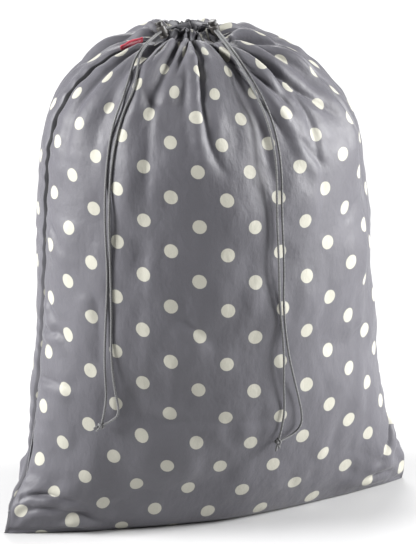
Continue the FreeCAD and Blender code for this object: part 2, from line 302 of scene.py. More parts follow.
CORD = cord_material("braided_cord", "braid")
LOOP = cord_material("cord_in_hem")
TAPE = woven_material("seam_tape", (0.09, 0.09, 0.10, 1), (0.13, 0.13, 0.14, 1), 0.0011, 0.7)
RED = woven_material("red_ribbon", (0.52, 0.012, 0.045, 1), (0.66, 0.05, 0.09, 1), 0.0009, 0.5)
RED_WOVEN = woven_material("red_ribbon_middle", (0.74, 0.16, 0.22, 1), (0.85, 0.42, 0.46, 1), 0.0007, 0.55)
THREAD = woven_material("thread", (0.24, 0.24, 0.25, 1), (0.36, 0.36, 0.37, 1), 0.0004, 0.6)
BARREL = plastic_material("lock_plastic", (0.046, 0.042, 0.039, 1), (0.062, 0.057, 0.053, 1), 0.42)
BUTTON = plastic_material("button_plastic", (0.022, 0.020, 0.019, 1), (0.035, 0.032, 0.030, 1), 0.34)
STEEL = steel_material()


# ---------------- small mesh tools
def new_object(name, verts, faces, material):
    mesh = bpy.data.meshes.new(name)
    mesh.from_pydata([tuple(map(float, p)) for p in verts], [], [tuple(map(int, f)) for f in faces])
    mesh.materials.append(material)
    mesh.polygons.foreach_set("use_smooth", [True] * len(mesh.polygons))
    mesh.update()
    obj = bpy.data.objects.new(name, mesh)
    scene.collection.objects.link(obj)
    return obj


def smoothed(obj):
    smooth = obj.modifiers.new("smooth", "SUBSURF")
    smooth.levels = smooth.render_levels = 1


def thickened(obj, thickness, offset):
    thick = obj.modifiers.new("thickness", "SOLIDIFY")
    thick.thickness = thickness
    thick.offset = offset


def nurbs_line(points):
    """The points of the smooth line that a NURBS spline makes of these control points."""
    curve = bpy.data.curves.new("route", "CURVE")
    curve.dimensions = "3D"
    spline = curve.splines.new("NURBS")
    spline.points.add(len(points) - 1)
    for knot, p in zip(spline.points, points):
        knot.co = (*p, 1)
    spline.order_u = 3
    spline.use_endpoint_u = True
    spline.resolution_u = 24
    obj = bpy.data.objects.new("route", curve)
    scene.collection.objects.link(obj)
    bpy.context.view_layer.update()
    mesh = bpy.data.meshes.new_from_object(obj.evaluated_get(bpy.context.evaluated_depsgraph_get()))
    line = np.array([v.co[:] for v in mesh.vertices])
    bpy.data.objects.remove(obj)
    bpy.data.curves.remove(curve)
    bpy.data.meshes.remove(mesh)
    return line


def running(gaps):
    """Sums of the gaps so far, from 0."""
    return np.concatenate(([0], np.cumsum(gaps)))


def steps_along(line):
    """How far along a line each of its points is."""
    return running(np.linalg.norm(np.diff(line, axis=0), axis=1))


def even_steps(line, step):
    """Points at even steps along a line, and how far along it each one is."""
    gaps = np.linalg.norm(np.diff(line, axis=0), axis=1)
    line = line[np.concatenate(([True], gaps > 1e-7))]
    run = steps_along(line)
    at = np.linspace(0, run[-1], max(int(run[-1] / step), 4) + 1)
    return np.stack([np.interp(at, run, line[:, k]) for k in range(3)], axis=1), at


def ring_points(middle, across, up, radius, sides):
    """Points round a circle that lies in the plane of across and up."""
    turns = [2 * math.pi * k / sides for k in range(sides)]
    return [middle + (across * math.cos(turn) + up * math.sin(turn)) * radius for turn in turns]


def tube_faces(rings, sides, first=0):
    """Quads between the rings of a tube whose points start at first."""
    return [(a + k, a + (k + 1) % sides, a + sides + (k + 1) % sides, a + sides + k)
            for a in range(first, first + (rings - 1) * sides, sides) for k in range(sides)]


BRAID_PITCH = 0.0052  # length of cord after which the braid looks the same again
BRAID_RIDGES = 4  # ridges each way round the cord
BRAID_RISE = 0.07  # half the height of the ridges, as a share of the radius
TAPER_LENGTH = 0.0012  # of a cut end that is drawn in


def braided_tube(name, line, diameter, material, step=0.0006, sides=20, taper=0.0):
    """Closed braided tube along a line, with a braid that stands out of its surface."""
    pts, at = even_steps(line, step)
    ways = np.gradient(pts, axis=0)
    ways /= np.linalg.norm(ways, axis=1)[:, None]
    across = np.cross(ways[0], (0.3, 0.2, 1) if abs(ways[0][2]) < 0.9 else (1, 0, 0))
    verts = []
    uvs = []
    for i, (p, w) in enumerate(zip(pts, ways)):
        across = across - w * across.dot(w)
        across /= np.linalg.norm(across)
        up = np.cross(w, across)
        wound = 2 * math.pi * at[i] / BRAID_PITCH
        edge = min(at[i], at[-1] - at[i])
        end = 1 - taper * max(0, 1 - edge / TAPER_LENGTH)
        for k in range(sides):
            turn = 2 * math.pi * k / sides
            rise = max(math.cos(BRAID_RIDGES * turn + wound), math.cos(BRAID_RIDGES * turn - wound))
            r = diameter / 2 * (1 - BRAID_RISE + BRAID_RISE * rise) * end
            verts.append(p + (across * math.cos(turn) + up * math.sin(turn)) * r)
    rings = len(pts)
    faces = tube_faces(rings, sides)
    for i in range(rings - 1):
        low, high = at[i] / BRAID_PITCH, at[i + 1] / BRAID_PITCH
        for k in range(sides):
            uvs += [(k / sides, low), ((k + 1) / sides, low), ((k + 1) / sides, high), (k / sides, high)]
    for ring, order in ((0, -1), (rings - 1, 1)):
        middle = len(verts)
        verts.append(pts[ring])
        for k in range(sides):
            j = (k + 1) % sides
            pair = (ring * sides + k, ring * sides + j)[::order]
            faces.append((*pair, middle))
            uvs += [(0, 0), (0.05, 0), (0, 0.1)]
    obj = new_object(name, verts, faces, material)
    layer = obj.data.uv_layers.new(name="braid")
    layer.data.foreach_set("uv", np.array(uvs).ravel())
    return obj


def join(name, objs):
    bpy.ops.object.select_all(action="DESELECT")
    for o in objs:
        o.select_set(True)
    bpy.context.view_layer.objects.active = objs[0]
    bpy.ops.object.join()
    objs[0].name = name
    return objs[0]


# ---------------- cords
CORD_D = 0.0026
STRAND_SIDE = CORD_D / 2 + 0.00005
# of each lock: the middle of its cord hole, the way its cords run out, and the way it leans
LOCKS = {
    "left": (Vector((-52.3, 2.6, 566)) * MM, Vector((-0.78, -0.61, -0.12)).normalized(),
             Vector((-0.20, 0.35, 0.88))),
    "right": (Vector((5.3, -8.9, 565.8)) * MM, Vector((-0.08, -0.99, -0.12)).normalized(),
              Vector((-0.28, 0.39, 0.88))),
}
LEFT_KNOT = (-159, -85, 146)
RIGHT_KNOT = (39, -119, 113)
BEHIND_HOLE = 0.007  # a strand starts this far behind the middle of its lock
STRAIGHT = 0.056  # length of its straight first run


def lock_axis(run, lean):
    """A lock's own axis: as lean points, but square to the run of its cords."""
    return (lean - run * lean.dot(run)).normalized()


def route(side, sideways, points):
    """Control points of one strand, from inside its lock. points are in millimetres."""
    hole, run, lean = LOCKS[side]
    start = hole - run * BEHIND_HOLE + run.cross(lock_axis(run, lean)) * sideways
    return [start, start + run * STRAIGHT] + [Vector(p) * MM for p in points]


# read along the photograph's cords, placed on the fitted body, then thinned, rounded and moved
ROUTES = {
    "left_strand_outer": route("left", STRAND_SIDE, [
        (-122, -71, 521), (-142, -79.5, 483), (-152, -87, 432), (-155, -92, 376),
        (-153, -95, 320), (-156, -94, 264), (-157, -92, 214), (-153, -89, 172), LEFT_KNOT]),
    "left_strand_inner": route("left", -STRAND_SIDE, [
        (-110, -72, 527), (-132, -81.5, 494), (-146.5, -91, 447), (-151, -94, 394), (-151, -97, 338),
        (-150, -98, 282), (-151, -97, 228), (-147, -97, 190), (-141, -96, 164), (-146, -92, 153), LEFT_KNOT]),
    "right_strand_inner": route("right", STRAND_SIDE, [
        (9, -106, 527), (21, -127, 490), (25, -145, 445), (23, -150, 392),
        (25, -152, 336), (27, -151, 280), (35, -145, 232), (38, -137, 186), (44, -127, 142), RIGHT_KNOT]),
    "right_strand_outer": route("right", -STRAND_SIDE, [
        (15, -105, 525), (27, -127, 489), (31, -144.5, 443), (29, -150, 388),
        (32, -151, 332), (32, -149, 276), (41, -143, 222), (55, -134, 178), (67, -123, 142),
        (66, -119, 126), (54, -118, 117), RIGHT_KNOT]),
}


KNOT_SIZE = 0.00105  # of the trefoil that a knot's turns follow
KNOT_STEP = 0.0004


def tied_knot(name, centre, lean, tails):
    """Overhand knot of two strands drawn tight, with short cut ends."""
    centre = Vector(centre) * MM
    turned = Matrix.Rotation(lean, 3, "Y") @ Matrix.Rotation(0.9, 3, "X")
    parts = []
    for index, (shift, twist) in enumerate(((-0.0006, 0.0), (0.0008, 0.55))):
        loop = []
        for i in range(61):
            t = 2 * math.pi * i / 60
            p = Vector((math.sin(t) + 2 * math.sin(2 * t), math.cos(t) - 2 * math.cos(2 * t),
                        -1.25 * math.sin(3 * t)))
            p = Matrix.Rotation(twist, 3, "Z") @ (p * KNOT_SIZE) + Vector((0, 0, shift))
            loop.append(centre + turned @ p)
        loop = np.array([q[:] for q in loop])
        parts.append(braided_tube(f"{name}_turn{index}", loop, CORD_D * 0.94, CORD, KNOT_STEP))
    for index, points in enumerate(tails):
        line = nurbs_line([centre + Vector(p) * MM for p in points])
        parts.append(braided_tube(f"{name}_end{index}", line, CORD_D, CORD, KNOT_STEP, taper=0.25))
    return join(name, parts)


lines = {name: nurbs_line(points) for name, points in ROUTES.items()}
strands = {name: braided_tube("cord_" + name, line, CORD_D, CORD) for name, line in lines.items()}
knots = {
    "left": tied_knot("cord_left_knot", LEFT_KNOT, 0.5, [
        [(0, 0, 0), (-3, -1.5, -2.5), (-6.5, -1.5, -5.5)], [(1, 0, 1), (-4, 1, -0.5), (-8.5, 0.5, -2.5)]]),
    "right": tied_knot("cord_right_knot", RIGHT_KNOT, -0.3, [
        [(0, 0, 0), (-1.5, -1, -5), (-2.5, 0, -11)], [(0, 0, 0), (1.5, 0.6, -4), (2, 0.5, -9)]]),
}
for name, obj in strands.items():
    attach(obj, "bag")
    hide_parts(name)
    side = name.split("_")[0]
for side, obj in knots.items():
    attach(obj, "bag")
    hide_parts(side + "_knot")

# ---------------- cloth
# Cross-sections from the floor to the neck, and then over the hem, in millimetres:
# height, half width, half depth, roundness (2 is an ellipse, less is a pointed lens), middle x, middle y.
# The body's came out of the camera's fit, were rounded, and were changed near floor and mouth.
LEVELS = np.array([
    (0, 247, 50, 1.35, 0, 0), (3, 247, 57, 1.38, 1, 0), (8, 247, 64, 1.41, 2, 0),
    (25, 247, 73, 1.45, 4, 0), (80, 223, 101, 1.7, 3, 0), (150, 210, 125, 1.85, 0, 0),
    (230, 199, 140, 1.95, -3, 0), (310, 193, 146, 2, -4, 0), (380, 190, 146, 2, -4, 0),
    (440, 183, 138, 2, -7, 0), (482, 168, 126, 2, -10, 1), (512, 145, 107, 2, -12.5, 2),
    (535, 116, 89, 2, -12.5, 4), (547, 88, 69, 2, -14, 5), (552.5, 60, 47, 2, -17, 6),
    (553.6, 44, 33, 2, -19, 7), (553.8, 31, 22, 2, -20, 8)], float)
HEM = np.array([(z, a, b, 2, -20, 8) for z, a, b in (
    (556, 28.2, 19.4), (559, 27.8, 19), (562.5, 28.8, 20), (565.6, 30, 21), (567.2, 29.4, 20.4),
    (567.4, 27.4, 18.4), (565.5, 25.6, 16.6), (562, 24.2, 15), (558, 22.5, 13.5), (555, 21, 12))], float)
BASE_DEPTH = 0.050  # cloth under the bag, from the base seam to the front edge, at the middle
COLS = 128  # cells across a panel
BASE_ROWS = 6  # cells from the base seam to the floor's edge
SEAM_FINE = 0.045  # share of the panel's width beside a seam that has the finer columns
even = np.linspace(0, 1, 2001)
crowding = np.cumsum(1 + 2.0 * np.exp(-(np.minimum(even, 1 - even) / SEAM_FINE) ** 2))
SHARE = np.interp(np.linspace(0, 1, COLS + 1), (crowding - crowding[0]) / (crowding[-1] - crowding[0]), even)


def smooth_rows(keys, values, at):
    """Monotone cubic through the key rows, so no section swells between two levels."""
    h = np.diff(keys)
    slope = np.diff(values) / h
    tangent = np.zeros(len(keys))
    for i in range(1, len(keys) - 1):
        if slope[i - 1] * slope[i] > 0:
            w1, w2 = 2 * h[i] + h[i - 1], h[i] + 2 * h[i - 1]
            tangent[i] = (w1 + w2) / (w1 / slope[i - 1] + w2 / slope[i])
    tangent[0], tangent[-1] = slope[0], slope[-1]
    k = np.clip(np.searchsorted(keys, at, side="right") - 1, 0, len(h) - 1)
    t = (at - keys[k]) / h[k]
    return ((1 + 2 * t) * (1 - t) ** 2 * values[k] + t * (1 - t) ** 2 * h[k] * tangent[k]
            + t * t * (3 - 2 * t) * values[k + 1] + t * t * (t - 1) * h[k] * tangent[k + 1])


def section(level, side):
    """Points along half a cross-section, from the left seam to the right one."""
    z, a, b, p, cx, cy = level
    turn = np.linspace(math.pi, 0, 721)
    c, s = np.cos(turn), np.sin(turn)
    x = np.sign(c) * np.abs(c) ** (2 / p) * a + cx
    y = side * np.abs(s) ** (2 / p) * b + cy
    run = running(np.hypot(np.diff(x), np.diff(y)))
    at = run[-1] * SHARE
    return np.stack([np.interp(at, run, x), np.interp(at, run, y), np.full(len(at), z)], axis=1)


front_y = LEVELS[:, 5] - LEVELS[:, 2]
meridian = running(np.hypot(np.diff(LEVELS[:, 0]), np.diff(front_y)))
NECK = meridian[-1]  # millimetres of cloth from the floor to the neck, up the front
# rows of the grid, finer towards the gathers
row_m = np.concatenate((np.arange(0, 400, 5.2), np.arange(400, 610, 3.9), np.linspace(610, NECK, 28)))
body_levels = np.stack([smooth_rows(meridian, LEVELS[:, k], row_m) for k in range(6)], axis=1)
hem_keys = np.vstack((LEVELS[-1:], HEM))
hem_run = running(np.hypot(np.diff(hem_keys[:, 0]), np.diff(hem_keys[:, 2])))
hem_m = np.linspace(0, hem_run[-1], 17)[1:]
hem_levels = np.stack([smooth_rows(hem_run, hem_keys[:, k], hem_m) for k in range(6)], axis=1)
levels = np.vstack((body_levels, hem_levels))
row_v = np.concatenate((row_m, NECK + hem_m)) * MM  # flat cloth from the floor to each row
NECK_V = BASE_DEPTH + NECK * MM
RIM = 0.0150  # cloth from the neck to the hem's upper edge
CLOTH_THICK = 0.0008
FLOOR_CLEAR = 0.0004  # the cloth's outer face stays this far above the floor
CLOTH = cloth_material()


def soft_step(x, low, high):
    t = np.clip((x - low) / (high - low), 0, 1)
    return t * t * (3 - 2 * t)


def wave_noise(seed, low, high, count=14):
    """Smooth seeded noise over two coordinates, from waves between two wavelengths in metres."""
    rng = np.random.default_rng(seed)
    length = np.exp(rng.uniform(math.log(low), math.log(high), count))
    way = rng.uniform(0, 2 * math.pi, count)
    phase = rng.uniform(0, 2 * math.pi, count)
    size = (length / high) ** 0.7

    def at(x, y):
        total = 0
        for l, w, f, s in zip(length, way, phase, size):
            total = total + s * np.sin(2 * math.pi * (x * math.cos(w) + y * math.sin(w)) / l + f)
        return total / math.sqrt(count / 2) / size.mean()

    return at


lumps = wave_noise(11, 0.09, 0.24)
ripples = wave_noise(5, 0.030, 0.07)


def ring_noise(seed, low, high):
    """Smooth seeded noise round the bag: q goes from 0 to 1 once round."""
    rng = np.random.default_rng(seed)
    waves = [(k, rng.uniform(0, 2 * math.pi), rng.uniform(0.5, 1)) for k in range(low, high)]

    def at(q):
        return sum(s * np.sin(2 * math.pi * k * q + f) for k, f, s in waves) / math.sqrt(len(waves) / 2)

    return at


shift_one, shift_two = ring_noise(3, 2, 7), ring_noise(8, 5, 13)
reach_noise, size_noise = ring_noise(21, 4, 15), ring_noise(34, 5, 16)
MAIN_PLEATS, FINE_PLEATS = 19, 43  # how many go once round
PLEAT_HEIGHT, PLEAT_REACH = 0.0170, 0.110
FINE_HEIGHT, FINE_REACH = 0.0044, 0.030
COLLAR_HEIGHT, COLLAR_PLACE = 0.0045, 0.016  # the swell just below the neck


def gathers(q, up):
    """Two sizes of gather round the mouth, 0 in their valleys and 1 on their ridges."""
    lean = 0.35 * np.sin(2 * math.pi * 2 * q + 1) * np.maximum(up, 0) / 0.1
    main = np.abs(np.sin(math.pi * (MAIN_PLEATS * q + 0.42 * shift_one(q) + lean * 0.3)))
    fine = np.abs(np.sin(math.pi * (FINE_PLEATS * q + 0.35 * shift_two(q) - lean * 0.2)))
    return main, fine


def pleats(q, up):
    """Height of the gathers over the smooth bag, in metres. up is metres of cloth below the neck."""
    main, fine = gathers(q, up)
    below = np.maximum(up, 0)
    reach = np.clip(PLEAT_REACH + 0.066 * reach_noise(q), 0.040, 0.28)
    size = np.clip(1 + 0.40 * size_noise(q), 0.3, 1.9)
    grown = 0.45 + 0.55 * np.clip(below / 0.025, 0, 1)
    main_size = PLEAT_HEIGHT * np.exp(-(below / reach) ** 1.25) * size * grown
    fine_size = FINE_HEIGHT * np.exp(-below / FINE_REACH)
    collar = COLLAR_HEIGHT * np.exp(-((below - COLLAR_PLACE) / 0.014) ** 2) * size
    return (main ** 0.7 - 0.62) * main_size + (fine - 0.6) * fine_size + collar * main


def hem_folds(q, up):
    """Crumpling of the hem: how far its cloth puffs away from the cords, and how far it stands up."""
    main, fine = gathers(q, up)
    size = np.clip(1 + 0.45 * size_noise(q + 0.31), 0.3, 1.9)
    inside = soft_step(-up, RIM - 0.002, RIM + 0.003)
    puff = 0.0050 * main * size + 0.0020 * fine
    rise = (puff - 0.0016) * (1 - inside) - (0.85 * puff - 0.0012) * inside
    stand = 0.0038 * (main - 0.55) * size + 0.0016 * shift_two(q) + 0.0012 * (fine - 0.5)
    return rise, soft_step(-up, 0.003, RIM) * stand


# Creases on the flat cloth, mirrored for the back: depth and width in millimetres, then the points each runs
# through from its deep end. A negative width puts the swell on the line's other side. Most of the lines are
# folds of the photograph, picked on it and turned into places on the flat cloth.
LONG_CREASES = (
    (8.0, 4.0, ((-51, 668), (-50, 643), (-47, 603), (-46, 576), (-46, 544), (-37, 523), (-16, 494))),
    (10.0, -4.2, ((18, 684), (34, 655), (46, 628), (60, 606), (78, 580), (94, 552))),
    (10.0, -4.4, ((50, 684), (74, 655), (92, 628), (110, 599), (138, 565), (160, 536))),
    (7.5, -4.0, ((30, 640), (40, 608), (48, 579), (54, 557), (64, 524))),
    (9.0, -4.4, ((100, 686), (140, 665), (172, 635), (202, 597), (220, 548))),
    (7.0, -4.0, ((78, 690), (110, 668), (138, 632), (164, 588))),
    (6.0, -4.0, ((150, 690), (190, 664), (222, 630), (240, 590))),
    (7.0, 3.6, ((-60, 690), (-73, 670), (-86, 650), (-92, 612))),
    (6.0, 4.0, ((-176, 664), (-164, 640), (-160, 616), (-166, 596), (-190, 572))),
    (3.4, 6.5, ((-148, 618), (-135, 600), (-114, 589), (-88, 585), (-60, 590))),
    (6.0, 3.6, ((-140, 690), (-148, 672), (-145, 650), (-136, 606))),
    (5.0, 3.6, ((-100, 690), (-112, 660), (-116, 630))),
    (4.2, 4.5, ((100, 590), (103, 560), (100, 520))),
    (3.6, 5.0, ((76, 536), (90, 514), (112, 496))),
    (5.0, 4.0, ((-254, 316), (-240, 313), (-225, 318), (-205, 300))),
    (4.4, 4.0, ((-256, 256), (-233, 259), (-196, 256))),
    (2.4, 7.0, ((-67, 219), (-10, 217), (52, 214), (96, 221))),
    (2.4, 7.0, ((-67, 219), (-100, 222), (-134, 233))),
    (2.8, 8.0, ((-78, 350), (-56, 328), (-28, 306))),
    (3.4, 9.0, ((-176, 372), (-173, 328), (-164, 286))),
    (3.4, 5.0, ((-250, 350), (-236, 337), (-222, 320))),
    (3.0, 6.0, ((-246, 440), (-225, 420), (-203, 408))),
    (9.0, 3.6, ((-256, 106), (-240, 112), (-222, 112), (-195, 108), (-160, 97))),
    (6.5, 4.5, ((-248, 88), (-222, 96), (-190, 92), (-160, 80), (-128, 62))),
    (4.5, 4.5, ((-205, 80), (-183, 86), (-147, 66))),
    (9.0, -3.6, ((252, 156), (244, 140), (232, 122), (216, 104), (198, 92))),
    (5.5, 4.0, ((236, 82), (216, 84), (192, 78), (166, 78))),
    (3.0, 6.0, ((232, 420), (215, 400), (188, 391))),
    (2.6, 8.0, ((180, 300), (150, 285), (118, 288))),
)


def long_creases(u, v, narrowing, flip):
    """Folds along the lines: a swell on one side leans over the line. Gives rise, and slide across and up."""
    total = np.zeros_like(u)
    slide = np.zeros(u.shape + (2,))
    share = np.linspace(0, 1, 40)
    for depth, width, points in LONG_CREASES:
        line = np.array([(x * flip, y) for x, y in points], float) * MM
        run = steps_along(line)
        fine = np.stack([np.interp(share * run[-1], run, line[:, k]) for k in (0, 1)], axis=1)
        for _ in range(4):
            fine[1:-1] = (fine[:-2] + 2 * fine[1:-1] + fine[2:]) / 4
        gap = np.stack([u, v], axis=-1)[..., None, :] - fine
        gap[..., 0] *= narrowing[..., None]
        near = np.linalg.norm(gap, axis=-1).argmin(axis=-1)
        gap = np.take_along_axis(gap, near[..., None, None], axis=-2)[..., 0, :]
        way = np.gradient(fine, axis=0)[near]
        way[..., 0] *= narrowing
        way /= np.linalg.norm(way, axis=-1)[..., None]
        turn = flip * math.copysign(1, width)
        side = (gap[..., 0] * way[..., 1] - gap[..., 1] * way[..., 0]) * turn
        past = np.abs(gap[..., 0] * way[..., 0] + gap[..., 1] * way[..., 1])
        t = share[near]
        grown = abs(width) * MM * (0.75 + 1.0 * t)
        fade = (1 - t ** 1.8) * np.clip((t + 0.02) / 0.14, 0, 1) * np.exp(-(past / grown) ** 2)
        s = side / grown
        valley = -np.exp(-np.abs(s / 0.65) ** 1.3)
        swell = 0.8 * np.exp(-((s - 1.9) / 1.15) ** 2)
        far_swell = 0.25 * np.exp(-((s + 2.3) / 1.5) ** 2)
        total = total + depth * MM * fade * (valley + swell + far_swell)
        lip = 0.75 * depth * MM * fade * np.exp(-((s - 1.1) / 0.9) ** 2)
        slide += lip[..., None] * turn * np.stack([-way[..., 1], way[..., 0]], axis=-1)
    return total, slide


# angle over the base, length in metres, depth in millimetres
EAR_CREASES = ((0.10, 0.15, 4.2), (0.36, 0.11, 3.4), (0.68, 0.09, 2.6), (1.05, 0.07, 2.0))


def ear_creases(u, v, seed):
    """Sharp folds that run out of the ears at the two lower corners."""
    rng = np.random.default_rng(seed)
    total = 0
    above = v - BASE_DEPTH - 0.004
    for corner in (-1, 1):
        inward = u - corner * PANEL_W / 2
        for angle, length, depth in EAR_CREASES:
            angle += rng.uniform(-0.06, 0.06)
            way = (-corner * math.cos(angle), math.sin(angle))
            along = inward * way[0] + above * way[1]
            across = -inward * way[1] + above * way[0]
            width = 0.0035 + 0.05 * np.clip(along, 0, 1)
            fade = np.clip(along / 0.02, 0, 1) * np.exp(-(np.clip(along, 0, 1) / length) ** 2)
            total = total - depth * MM * fade * np.exp(-(across / width) ** 2)
            total = total + 0.5 * depth * MM * fade * np.exp(-((np.abs(across) - 2.1 * width) / width) ** 2)
    return total


def build_grid(side):
    """Points and flat-cloth coordinates of one panel, before any fold. side is -1 front, 1 back."""
    rows = np.array([section(level, side) * MM for level in levels])
    edge = rows[0]
    middle_y = LEVELS[0][5] * MM
    share = np.arange(BASE_ROWS)[:, None] / BASE_ROWS
    base = np.repeat(edge[None], BASE_ROWS, axis=0)
    base[..., 1] = middle_y + (edge[:, 1] - middle_y) * share
    grid = np.concatenate((base, rows))
    u = (SHARE - 0.5) * PANEL_W
    flat = np.zeros(grid.shape[:2] + (2,))
    flat[..., 0] = u
    flat[:BASE_ROWS, :, 1] = BASE_DEPTH - np.abs(edge[:, 1] - middle_y) * (1 - share)
    flat[BASE_ROWS:, :, 1] = (BASE_DEPTH + row_v)[:, None]
    return grid, flat


def ways_out(grid, side, up):
    """Directions out of the bag, the ways that its folds rise, and how far each point belongs to the hem."""
    n = np.cross(np.gradient(grid, axis=1), np.gradient(grid, axis=0)) * -side
    n /= np.maximum(np.linalg.norm(n, axis=2), 1e-9)[..., None]
    # round the seams and the hem, the way out is square to the upright middle line
    centre = levels[:, 4:6] * MM
    centre = np.vstack((np.repeat(centre[:1], BASE_ROWS, axis=0), centre))
    radial = grid.copy()
    radial[..., :2] -= centre[:, None, :]
    radial[..., 2] = 0
    radial /= np.maximum(np.linalg.norm(radial, axis=2), 1e-9)[..., None]
    hem = soft_step(-up, -0.004, 0.004)[..., None]
    near_top = soft_step(-up, -0.16, -0.05)[..., None]
    seam_dir = radial * (1 - near_top) + np.array((0, 0, 1.0)) * near_top
    seam_dir /= np.linalg.norm(seam_dir, axis=2)[..., None]
    n[:, 0], n[:, -1] = seam_dir[:, 0], seam_dir[:, -1]
    way = n * (1 - hem) + (radial * 0.85 + np.array((0, 0, 0.25))) * hem
    return n, way, hem[..., 0]


LOCK_SPACE = 0.018  # gathers are low within about this distance of a lock


def gathered(grid, q, up, in_hem):
    """Pleats below the neck and folds in the hem, low where the locks stand. Gives their rise and stand."""
    hem_rise, stand = hem_folds(q, up)
    clear = np.ones_like(q)
    for hole, _, _ in LOCKS.values():
        gap = np.hypot(grid[..., 0] - hole.x, grid[..., 1] - hole.y)
        clear *= 1 - np.exp(-(gap / LOCK_SPACE) ** 2)
    hem_rise, stand = hem_rise * clear - 0.0015 * (1 - clear) * (hem_rise > 0), stand * clear
    rise = pleats(q, up)
    rise = np.where(rise > 0, rise * (1 - 0.8 * (1 - clear)), rise) * (1 - in_hem) + hem_rise * in_hem
    return rise, stand


LUMP_HEIGHT, RIPPLE_HEIGHT = 0.0022, 0.0006
GROOVE_DEPTH = 0.0075  # how far the side seams are drawn in
PUCKER_HEIGHT, PUCKER_PITCH = 0.0018, 0.024


def shaped_panel(side):
    """Folded points of one panel, its flat-cloth coordinates and its outward directions."""
    grid, flat = build_grid(side)
    u, v = flat[..., 0], flat[..., 1]
    up = NECK_V - v
    q = (u + PANEL_W / 2) / (2 * PANEL_W) if side < 0 else 0.5 + (PANEL_W / 2 - u) / (2 * PANEL_W)
    n, way, in_hem = ways_out(grid, side, up)
    upright = soft_step(v, BASE_DEPTH + 0.002, BASE_DEPTH + 0.07)
    from_seam = np.minimum(u + PANEL_W / 2, PANEL_W / 2 - u)
    off_seam = 1 - np.exp(-(from_seam / 0.030) ** 2)
    body = upright * soft_step(up, 0.0, 0.05)
    around = PANEL_W * (0.5 if side < 0 else 2.5)
    half_way = np.linalg.norm(np.diff(grid, axis=1), axis=2).sum(axis=1)
    narrowing = np.repeat((half_way / PANEL_W)[:, None], u.shape[1], axis=1)
    rise, stand = gathered(grid, q, up, in_hem)
    rise = rise + LUMP_HEIGHT * lumps(u + around, v) * body * off_seam
    rise = rise + RIPPLE_HEIGHT * ripples(u * 1.3 + around, v * 0.6) * body * off_seam
    folded, slide = long_creases(u, v, narrowing, -side)
    below_neck = soft_step(up, -0.002, 0.012)
    rise = rise + folded * below_neck
    groove = np.exp(-from_seam / 0.0032)
    pucker = np.sin(2 * math.pi * (v / PUCKER_PITCH + 0.35 * np.sin(v * 61 + side) + 0.3 * side))
    puckered = np.exp(-from_seam / 0.020) * (1 - np.exp(-(from_seam / 0.006) ** 2))
    rise = rise - GROOVE_DEPTH * groove * body + PUCKER_HEIGHT * pucker * puckered * body
    rise = rise + ear_creases(u, v, 40 + side) * soft_step(v, BASE_DEPTH, BASE_DEPTH + 0.012)
    shaped = grid + way * rise[..., None]
    shaped[..., 2] += stand
    for axis in (0, 1):
        along = np.gradient(grid, axis=1 - axis)
        along /= np.maximum(np.linalg.norm(along, axis=2), 1e-9)[..., None]
        shaped += along * (slide[..., axis] * below_neck * off_seam)[..., None]
    shaped[..., 2] = np.maximum(shaped[..., 2], FLOOR_CLEAR)
    return shaped, flat, n


front, front_flat, front_out = shaped_panel(-1)
back, back_flat, back_out = shaped_panel(1)
seam = (front[:, [0, -1]] + back[:, [0, -1]]) / 2
front[:, [0, -1]] = seam
back[:, [0, -1]] = seam
base_line = (front[0] + back[0]) / 2
front[0] = base_line
back[0] = base_line

STRAND_BED = 0.0021  # from a cord's middle to the cloth under it
STRAND_REACH = 0.020  # cloth farther than this beside a cord stays as it is
BED_SLOPE = 0.42  # how steeply the cloth may rise beside a cord
LOCK_FOOT = 0.0085  # from a lock's cord hole down to its barrel's foot
LOCK_TALL = 0.019
LOCK_CLEAR = 0.0066  # round a lock's axis
LOCK_TRAVEL = 0.020
PATH_START = 0.007  # where the bed that a lock slides over begins, ahead of its cord hole
PATH_GAP = 0.0012  # between that bed and the barrel's foot
PATH_SLOPE = 0.85
PATH_SIDE = 0.016  # width of the slope beside the bed
PATH_DEEPEST = 0.014


def keep_clear(points, out):
    """Presses the cloth in under the cords, with gentle slopes beside them, and away from the locks."""
    every = np.concatenate([even_steps(line, 0.003)[0] for line in lines.values()])
    p, o = points.reshape(-1, 3), out.reshape(-1, 3)
    for _ in range(2):
        low, high = every.min(axis=0) - 0.02, every.max(axis=0) + 0.02
        inside = np.nonzero(((p > low) & (p < high)).all(axis=1))[0]
        for start in range(0, len(inside), 2000):
            ids = inside[start:start + 2000]
            gap = p[ids][:, None] - every[None]
            rise = np.einsum("ijk,ik->ij", gap, o[ids])
            beside = np.sqrt(np.maximum((gap ** 2).sum(axis=2) - rise ** 2, 0))
            over = np.where(beside < STRAND_REACH, rise + STRAND_BED - BED_SLOPE * beside, 0).max(axis=1)
            p[ids] -= o[ids] * np.clip(over, 0, 0.016)[:, None]
    for hole, run, lean in LOCKS.values():
        axis = np.array(lock_axis(run, lean))
        foot = np.array(hole) - axis * LOCK_FOOT
        high = (p - foot) @ axis
        ahead = (p - foot) @ np.array(run)
        aside = (p - foot) @ np.cross(run, axis)
        ends = np.maximum(ahead - LOCK_TRAVEL, 0) + np.maximum(PATH_START - ahead, 0) * 3
        beyond = np.maximum(np.hypot(aside, ends) - LOCK_CLEAR, 0)
        over = high + PATH_GAP - PATH_SLOPE * beyond
        pressed = (over > 0) & (beyond < PATH_SIDE) & (high < LOCK_TALL)
        p[pressed] -= axis * np.minimum(over[pressed], PATH_DEEPEST)[:, None]
        along = np.clip((p - foot) @ axis, 0, LOCK_TALL)
        away = p - (foot + along[:, None] * axis)
        gap = np.linalg.norm(away, axis=1)
        close = gap < LOCK_CLEAR
        p[close] += away[close] / np.maximum(gap[close], 1e-6)[:, None] * (LOCK_CLEAR - gap[close])[:, None]
    return points


